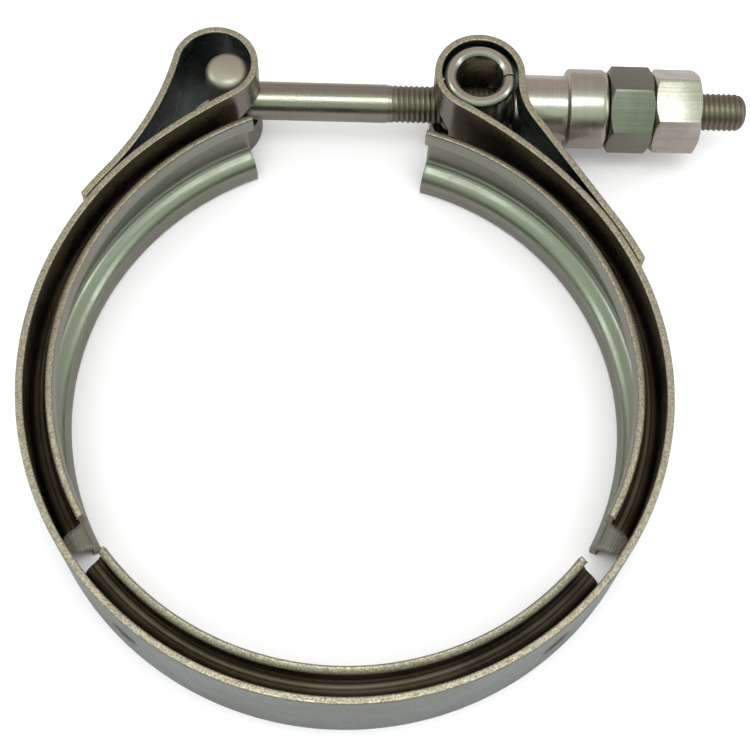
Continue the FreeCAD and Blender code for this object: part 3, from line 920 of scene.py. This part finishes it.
class CLAMP_OT_retainers(bpy.types.Operator):
    """Roll-forms the three V-shaped retainers inside the strap"""
    bl_idname = "clamp.retainers"
    bl_label = "Retainers"

    def execute(self, context):
        settings = context.scene.clamp
        finish = settings.finish
        material = sheet_steel("Roll-formed steel", finish, finish.retainer,
                               finish.retainer_back, finish.retainer_roughness, 0.55)
        section, marks = self.section(settings)
        for node, middle in RETAINERS.items():
            obj = self.bend(settings, node, math.radians(middle), section, marks)
            place_piece(obj, material, "clamp", node)
        return {"FINISHED"}

    @staticmethod
    def section(settings):
        """Closed outline of the V: (distance from the axis, height), from its mean line.

        The upper half's mean line runs floor, bend, wall, roll, land and flare; mirrored, it
        makes the whole line, which is offset by half the sheet to each side and closed by
        two rounded sheared edges.
        """
        s, strap = settings.retainer, settings.strap
        half = s.thickness / 2
        inside = strap.radius - strap.thickness
        lip_r = inside - s.depth
        floor_r = inside - half
        wall = math.pi / 2 - s.groove_half
        bend_r, roll_r = s.floor_bend + half, s.lip_roll - half
        roll_x = lip_r + s.lip_roll
        into = unit2(wall)
        along = np.array([-into[1], into[0]])
        wall_l = (floor_r - bend_r + (bend_r + roll_r) * into[0] - roll_x) / into[1]
        lip_z = strap.width / 2 - s.setback - s.lip_land - s.lip_roll * math.sin(s.lip_flare)
        roll = np.array([roll_x, lip_z])
        top = roll - into * roll_r
        foot = top - along * wall_l
        bend = foot - into * bend_r
        flare = roll + (0, s.lip_land)
        step, corner = 0.26 * MM, 0.24 * MM
        upper = [line_run((floor_r, 0), (floor_r, bend[1]), 0.6 * MM),
                 arc_run(bend, bend_r, 0, wall, step),
                 line_run(foot, top, step),
                 arc_run(roll, roll_r, math.pi + wall, math.pi, step),
                 line_run(roll - (roll_r, 0), flare - (roll_r, 0), step),
                 arc_run(flare, roll_r, math.pi, math.pi - s.lip_flare, step)]
        line, left, _ = chain(upper)
        flip = np.array([1.0, -1.0])
        line = np.concatenate([(line * flip)[:0:-1], line])
        left = np.concatenate([(left * flip)[:0:-1], left])
        turn = part_turn(-90, 90, 9)
        across = (half - corner) * np.sign(np.sin(turn)) + corner * np.sin(turn)
        forward = corner * np.cos(turn) - corner
        ends = []
        for point, normal, outward in ((line[-1], left[-1], 1), (line[0], left[0], -1)):
            ahead = np.array([normal[1], -normal[0]]) * outward
            ends.append(point + np.outer(forward, ahead) - np.outer(across, normal) * outward)
        right_side, left_side = ((line + side * left * half)[1:-1] for side in (-1, 1))
        outline = np.concatenate([right_side, ends[0], left_side[::-1], ends[1]])
        side, tip = np.ones(len(line) - 2), np.ones(len(turn))
        return outline, {"sheared": np.concatenate([0 * side, tip, 0 * side, tip]),
                         "back": np.concatenate([side, 0.5 * tip, 0 * side, 0.5 * tip])}

    @staticmethod
    def bend(settings, name, middle, section, marks):
        """The outline carried along the strap's inner face, which eases out at the left."""
        strap, loop, arc = settings.strap, settings.t_loop, settings.retainer.arc
        inside = strap.radius - strap.thickness
        start, end = middle - arc / 2, middle + arc / 2
        step, end_round, end_points = 0.8 * MM, 0.16 * MM, 9
        ease_from = math.pi - loop.ease_from
        eased = max(0.0, ease_from - start)
        runs = []
        if eased:
            turn = eased * inside / (inside + loop.ease)
            runs.append(arc_run(-loop.ease * unit2(ease_from), inside + loop.ease,
                                ease_from - turn, ease_from, step))
        runs.append(arc_run((0, 0), inside, start + eased, end, step))
        offset = np.column_stack([inside - section[:, 0], section[:, 1]])
        return make_mesh(name + "_v", sweep(chain(runs), offset, marks, end_round,
                                            cap=ladder(len(section), end_points)))


class CLAMP_OT_t_bolt(bpy.types.Operator):
    """Forges the T-bolt: barrel head, shank and rolled thread"""
    bl_idname = "clamp.t_bolt"
    bl_label = "T-bolt"

    def execute(self, context):
        settings = context.scene.clamp
        bolt, finish = settings.bolt, settings.finish
        low = NODE_BOX["t_bolt"][0]
        head_x = low[0] + bolt.barrel_radius
        obj = make_mesh("t_bolt_bar", join_surfaces(self.barrel(bolt, head_x),
                                                    self.shank(bolt, head_x)), 42.0)
        place_piece(obj, thread_steel("Drawn bolt steel", finish, finish.bar_roughness),
                    "bolt", "t_bolt")
        return {"FINISHED"}

    @staticmethod
    def barrel(bolt, head_x):
        """A cylinder along Z with rounded, lumpy ends and a faint crown, closed at both poles.

        The ends sag by lump * (q / r)^2 * (0.6 + 0.25 cos(2a) + 0.15 cos(3a)), each wave turned.
        """
        top = NODE_BOX["t_bolt"][1][2]
        r, edge, crown, sides = bolt.barrel_radius, bolt.barrel_round, 0.12 * MM, 64
        upper = [(top - crown * (k / 6) ** 2, (r - edge) * k / 6) for k in range(1, 7)]
        corner = [(top - crown - (edge - crown) * (1 - math.cos(t)), r - edge + edge * math.sin(t))
                  for t in part_turn(0, 90, 9)[1:]]
        half = [(top, 1e-6)] + upper + corner
        side = [(z, r) for z in np.linspace(half[-1][0], -half[-1][0], 20)[1:-1]]
        profile = np.array(half + side + [(-z, q) for z, q in half[::-1]])
        a = full_turn(sides)[:, None]
        z, q = profile[None, :, 0], profile[None, :, 1]
        waves = 0.6 + 0.25 * np.cos(2 * a - 0.9) + 0.15 * np.cos(3 * a + 0.4)
        near_end = np.clip((np.abs(z) - top + 2 * edge) / edge, 0, 1)
        z = z - np.sign(z) * bolt.barrel_lump * (q / r) ** 2 * waves * near_end
        points = np.stack([head_x + q * np.cos(a), BOLT_Y + q * np.sin(a), z], -1)
        pole = np.arange(sides) * len(profile)
        # The barrel's mark gives it a rougher forged skin and a lighter colour, which is painted
        # light.
        return grid_surface(points, np.linspace(0, 20, sides + 1) * MM,
                            np.arange(len(profile)) * 0.5 * MM, wrap_u=True, wrap_v=False,
                            marks={"forged": np.ones(points.shape[:2])},
                            ngons=[pole, pole[::-1] + len(profile) - 1])

    @staticmethod
    def shank(bolt, head_x):
        """Radius over (length along X, turn): plain, then a 60 degree helical thread.

        Thread rows climb one pitch per turn, so each crest and root is one line of points;
        rows before the start and past the tip are held at the ends.
        """
        sides, steps = 60, np.array([0.0, 0.09, 0.40, 0.5, 0.60, 0.91])
        per_turn, pitch = len(steps), bolt.pitch
        thread_x = BOLT_TIP_X - bolt.thread_length
        turns = int(bolt.thread_length / pitch) + 3
        phase = (np.arange(turns)[:, None] + steps[None, :]).ravel()
        j = np.arange(sides) / sides
        x = thread_x - pitch + pitch * (phase[:, None] + j[None, :])
        x = np.clip(x, thread_x, BOLT_TIP_X)
        saw = np.abs(2 * (steps - 0.5))
        root = np.tile(np.clip((saw - 0.2) / 0.62, 0, 1), turns)[:, None]
        runout = np.clip((x - thread_x) / (2.2 * pitch), 0, 1)
        onset = np.clip((x - thread_x) / (0.6 * pitch), 0, 1)
        crest = bolt.shank_radius + (bolt.crest_radius - bolt.shank_radius) * onset
        past = np.clip(1 - (BOLT_TIP_X - x) / bolt.tip, 0, 1)
        envelope = bolt.crest_radius - bolt.tip_drop * (1 - np.sqrt(1 - 0.98 * past ** 2))
        r = np.minimum(crest - bolt.thread_depth * root * runout, envelope)
        a = 2 * np.pi * j
        points = np.stack([x, BOLT_Y + r * np.cos(a), r * np.sin(a)], -1).reshape(-1, 3)
        rows = len(phase)
        i, k = np.meshgrid(np.arange(rows - 1), np.arange(sides), indexing="ij")
        climb = (k + 1) // sides * per_turn
        far, ahead = (k + 1) % sides, [np.minimum(i + n + climb, rows - 1) for n in (1, 0)]
        quads = np.stack([i * sides + k, (i + 1) * sides + k,
                          ahead[0] * sides + far, ahead[1] * sides + far], -1).reshape(-1, 4)
        # The root mark paints the bolt darker between the crests, as painted shade in the thread
        # roots.
        thread = dict(points=points, quads=quads, uv=points[quads.reshape(-1)][:, [0, 2]],
                      marks={"root": ((root * runout) ** 0.8).reshape(-1),
                             "thread": runout.reshape(-1)},
                      ngons=[(rows - 1) * sides + np.arange(sides)])
        plain_x = np.linspace(head_x, thread_x, 30)
        circle = np.stack([np.zeros(sides), np.cos(a), np.sin(a)], -1) * bolt.shank_radius
        plain = (0, BOLT_Y, 0) + circle + plain_x[:, None, None] * np.array([1, 0, 0])
        tube = grid_surface(plain, plain_x - head_x, np.linspace(0, 20 * MM, sides + 1),
                            ngons=[np.arange(sides)])
        return join_surfaces(tube, thread)


class CLAMP_OT_trunnion(bpy.types.Operator):
    """Rolls the trunnion: a seamed tube with chamfered rims, drilled for the bolt"""
    bl_idname = "clamp.trunnion"
    bl_label = "Trunnion"

    def execute(self, context):
        settings = context.scene.clamp
        s, finish = settings.fastener, settings.finish
        low, high = NODE_BOX["trunnion"]
        x = (low[0] + high[0]) / 2
        outer, inner, top, c = (high[1] - low[1]) / 2, s.trunnion_bore, high[2], s.trunnion_chamfer
        rim = [(top, inner + c), (top, (inner + outer) / 2), (top, outer - c), (top - c, outer)]
        wall = np.linspace(top - c, c - top, 14)[1:-1]
        profile = np.array(rim + [(z, outer) for z in wall] + [(-z, r) for z, r in rim[::-1]]
                           + [(c - top, inner)] + [(-z, inner) for z in wall] + [(top - c, inner)])
        gap = np.arcsin(s.seam / 2 / profile[:, 1])
        t = np.linspace(0, 1, 97)[:, None]
        surface = revolve(profile, (x, BOLT_Y, 0), (0, 0, 1), gap + t * (2 * np.pi - 2 * gap))
        obj = make_mesh("trunnion_tube", surface)
        cut_away(obj, [self.drill(s, x, outer)])
        round_edges(obj, 0.10 * MM, 28.0)
        material = bar_steel("Turned trunnion steel", finish, finish.bright,
                             finish.bar_roughness, rings=0.5, upright_x=x)[0]
        place_piece(obj, material, "trunnion", "trunnion")
        return {"FINISHED"}

    @staticmethod
    def drill(s, x, outer):
        """A plain cylinder along X, as long as three of the trunnion's radii."""
        a = full_turn(48)
        circle = np.column_stack([BOLT_Y + s.cross_hole * np.cos(a), s.cross_hole * np.sin(a)])
        return prism("drill", (x - 1.5 * outer, x + 1.5 * outer), circle)


class CLAMP_OT_sleeve(bpy.types.Operator):
    """Turns the sleeve with its collar"""
    bl_idname = "clamp.sleeve"
    bl_label = "Sleeve"

    def execute(self, context):
        settings = context.scene.clamp
        s, finish = settings.fastener, settings.finish
        (x0, _, low), (x1, _, high) = NODE_BOX["sleeve"]
        collar_x, collar_r, r, bore = (x1 - s.collar_length, (high - low) / 2, s.sleeve_radius,
                                       s.sleeve_bore)
        edge, step, shoulder = 0.3 * MM, 0.4 * MM, 2.5 * MM
        profile = [(x0, bore + edge), (x0, r - edge), (x0 + edge, r)]
        profile += [(x, r) for x in np.linspace(x0 + edge, collar_x, 8)[1:]]
        profile += [(collar_x, collar_r - step), (collar_x + step, collar_r),
                    (collar_x + shoulder, collar_r)]
        profile += [(x1 - s.collar_round * (1 - math.cos(t)),
                     collar_r - s.collar_round * (1 - math.sin(t)))
                    for t in part_turn(90, 0, 9)]
        profile += [(x1, bore + edge), (x1 - edge, bore), (x0 + edge, bore)]
        obj = make_mesh("sleeve_collar", revolve(profile, (0, BOLT_Y, 0), (1, 0, 0)))
        round_edges(obj, 0.12 * MM, 28.0)
        material = bar_steel("Turned sleeve steel", finish, finish.bright,
                             finish.bar_roughness, rings=0.4)[0]
        place_piece(obj, material, "sleeve", "sleeve")
        return {"FINISHED"}


class CLAMP_OT_nuts(bpy.types.Operator):
    """Makes the nut and the lock nut from hexagon bar"""
    bl_idname = "clamp.nuts"
    bl_label = "Nuts"

    def execute(self, context):
        settings = context.scene.clamp
        s, finish = settings.fastener, settings.finish
        for node, turn, base, rough in (
                ("nut", s.nut_turn, finish.nut, finish.bar_roughness + 0.06),
                ("lock_nut", s.lock_nut_turn, finish.bright, finish.bar_roughness)):
            obj = make_mesh(node + "_hex", self.hexagon(s, node, turn), 25.0)
            round_edges(obj, 0.13 * MM, 24.0, 3)
            material = bar_steel(node.replace("_", " ").capitalize() + " steel", finish, base,
                                 rough, rings=0.35, along=0.7)[0]
            place_piece(obj, material, node, node)
        return {"FINISHED"}

    @staticmethod
    def hexagon(s, node, turn):
        """Radius over (section, turn): bore, countersink, face circle, chamfer curve and flats.

        A flat's radius at an angle d from its nearest corner is half the flats over
        cos(30 degrees - d). The chamfer meets it where the cone has risen that far.
        """
        x0, x1 = NODE_BOX[node][0][0], NODE_BOX[node][1][0]
        half = s.nut_flats / 2
        a = full_turn(96)
        sixth = math.pi / 3
        d = np.abs((a + sixth / 2) % sixth - sixth / 2)
        flats = half / np.cos(sixth / 2 - d)
        inset, sink, bore = 0.13 * MM, 0.5 * MM, s.nut_bore
        slope = (flats - half + inset) * math.tan(s.nut_chamfer)
        rows = [(x0 + sink, bore), (x0, bore + sink), (x0, half - inset), (x0 + slope, flats)]
        rows += [(x1 - slope, flats), (x1, half - inset), (x1, bore + sink), (x1 - sink, bore)]
        x, r = (np.array([row[k] + 0 * a for row in rows]) for k in (0, 1))
        points = np.stack([x, BOLT_Y + r * np.cos(a + turn), r * np.sin(a + turn)], -1)
        return grid_surface(points, np.arange(len(rows) + 1) * 2 * MM,
                            np.linspace(0, 40 * MM, len(a) + 1), wrap_u=True)


class CLAMP_OT_stage(bpy.types.Operator):
    """Lays the floor and sets the lights and the camera"""
    bl_idname = "clamp.stage"
    bl_label = "Studio"

    def execute(self, context):
        settings = context.scene.clamp
        studio = settings.studio
        self.floor(settings)
        self.room(context.scene, studio)
        self.camera(context.scene, studio)
        centre = Vector((0.005, 0.005, 0.0))
        # Name, place, size, power in watts, and whether steel mirrors it.
        for name, place, size, power, mirrored in (
                ("Canopy", (0.0, 0.0, 1.1), (2.4, 2.4), studio.canopy, False),
                ("Key panel", (0.02, -0.085, 0.66), (0.40, 0.21), studio.key, True),
                ("Left panel", (-0.60, 0.05, 0.16), (0.14, 0.60), studio.side, True),
                ("Right panel", (0.62, 0.00, 0.18), (0.14, 0.60), studio.side, True)):
            data = bpy.data.lights.new(name, "AREA")
            data.shape, data.size, data.size_y, data.energy = "RECTANGLE", size[0], size[1], power
            lamp = bpy.data.objects.new(name, data)
            lamp.location = place
            lamp.rotation_euler = (centre - Vector(place)).to_track_quat("-Z", "Y").to_euler()
            lamp.visible_glossy = mirrored
            context.scene.collection.objects.link(lamp)
        return {"FINISHED"}

    @staticmethod
    def floor(settings):
        """A flat square under the part's lowest point."""
        level, reach = CAD_BOX[0][2], 4.0
        mesh = bpy.data.meshes.new("floor")
        mesh.from_pydata([(x * reach, y * reach, level) for x, y in
                          ((-1, -1), (1, -1), (1, 1), (-1, 1))], [], [(0, 1, 2, 3)])
        floor = bpy.data.objects.new("floor", mesh)
        mesh.materials.append(floor_material(settings.finish))
        bpy.context.scene.collection.objects.link(floor)

    @staticmethod
    def room(scene, studio):
        """A pale haze, where steel mirrors walls: warm far, greenish near, dark at the foot."""
        world = bpy.data.worlds.new("Studio room")
        world.use_nodes = True
        tree = world.node_tree
        direction = tree.nodes.new("ShaderNodeTexCoord").outputs["Generated"]
        split = shader_node(tree, "SeparateXYZ", {0: direction}).outputs
        near = ramp(tree, split["Y"], 0.50, 0.12)
        walls = blend(tree, near, studio.far_wall, studio.near_wall)
        foot = ramp(tree, add_up(tree, split["Z"], (split["Y"], 0.32)), 0.30, 0.05)
        room = blend(tree, foot, walls, studio.skirting)
        mirrored = tree.nodes.new("ShaderNodeLightPath").outputs["Is Glossy Ray"]
        wire(tree, tree.nodes["Background"], {"Color": blend(tree, mirrored, studio.haze, room)})
        scene.world = world
        scene.view_settings.view_transform = "Standard"

    @staticmethod
    def camera(scene, studio):
        """A camera tilted from straight down, then turned and rolled."""
        data = bpy.data.cameras.new("Camera")
        data.lens, data.sensor_width = studio.lens, 36.0
        data.clip_start, data.clip_end = 0.01, 10.0
        camera = bpy.data.objects.new("Camera", data)
        turn = Matrix.Rotation(studio.pitch, 4, "X") @ Matrix.Rotation(-studio.yaw, 4, "Y")
        place = Matrix.Translation((studio.camera_x, studio.camera_y, studio.camera_z))
        camera.matrix_world = place @ turn @ Matrix.Rotation(studio.roll, 4, "Z")
        scene.collection.objects.link(camera)
        scene.camera = camera


class CLAMP_PT_build(bpy.types.Panel):
    """Buttons and sizes of the clamp"""
    bl_idname = "CLAMP_PT_build"
    bl_label = "V-band clamp"
    bl_space_type = "VIEW_3D"
    bl_region_type = "UI"
    bl_category = "V-band clamp"

    def draw(self, context):
        layout = self.layout
        settings = context.scene.clamp
        for operator in OPERATORS:
            layout.operator(operator.bl_idname)
        for group in (settings.strap, settings.t_loop, settings.trunnion_loop, settings.retainer,
                      settings.bolt, settings.fastener, settings.finish, settings.studio):
            box = layout.box()
            box.label(text=group.bl_rna.name)
            for name in group.__annotations__:
                box.prop(group, name)


OPERATORS = (CLAMP_OT_strap, CLAMP_OT_retainers, CLAMP_OT_t_bolt, CLAMP_OT_trunnion,
             CLAMP_OT_sleeve, CLAMP_OT_nuts, CLAMP_OT_stage)
CLASSES = (StrapSizes, LoopSizes, RetainerSizes, BoltSizes, FastenerSizes, SteelFinish,
           StudioSettings, ClampSettings) + OPERATORS + (CLAMP_PT_build,)


def register():
    """Adds the classes and the scene's settings."""
    for cls in CLASSES:
        bpy.utils.register_class(cls)
    bpy.types.Scene.clamp = PointerProperty(type=ClampSettings)


def unregister():
    """Takes them away again."""
    del bpy.types.Scene.clamp
    for cls in reversed(CLASSES):
        bpy.utils.unregister_class(cls)


def set_trunnion_loop(loop):
    """The right loop is tighter at its leg and a little wider than the left one."""
    loop.x, loop.rise, loop.radius = 20.9 * MM, 4.8 * MM, 6.9 * MM
    loop.ease, loop.ease_from = 0.0, 0.0
    loop.rise_radius, loop.bend_radius = 76.0 * MM, 12.6 * MM
    loop.leg, loop.lap = 31.5 * MM, 8.0 * MM


def main():
    """Builds every piece."""
    register()
    set_trunnion_loop(bpy.context.scene.clamp.trunnion_loop)
    bpy.ops.clamp.stage()
    bpy.ops.clamp.strap()
    bpy.ops.clamp.retainers()
    bpy.ops.clamp.t_bolt()
    bpy.ops.clamp.trunnion()
    bpy.ops.clamp.sleeve()
    bpy.ops.clamp.nuts()


if __name__ == "__main__":
    main()
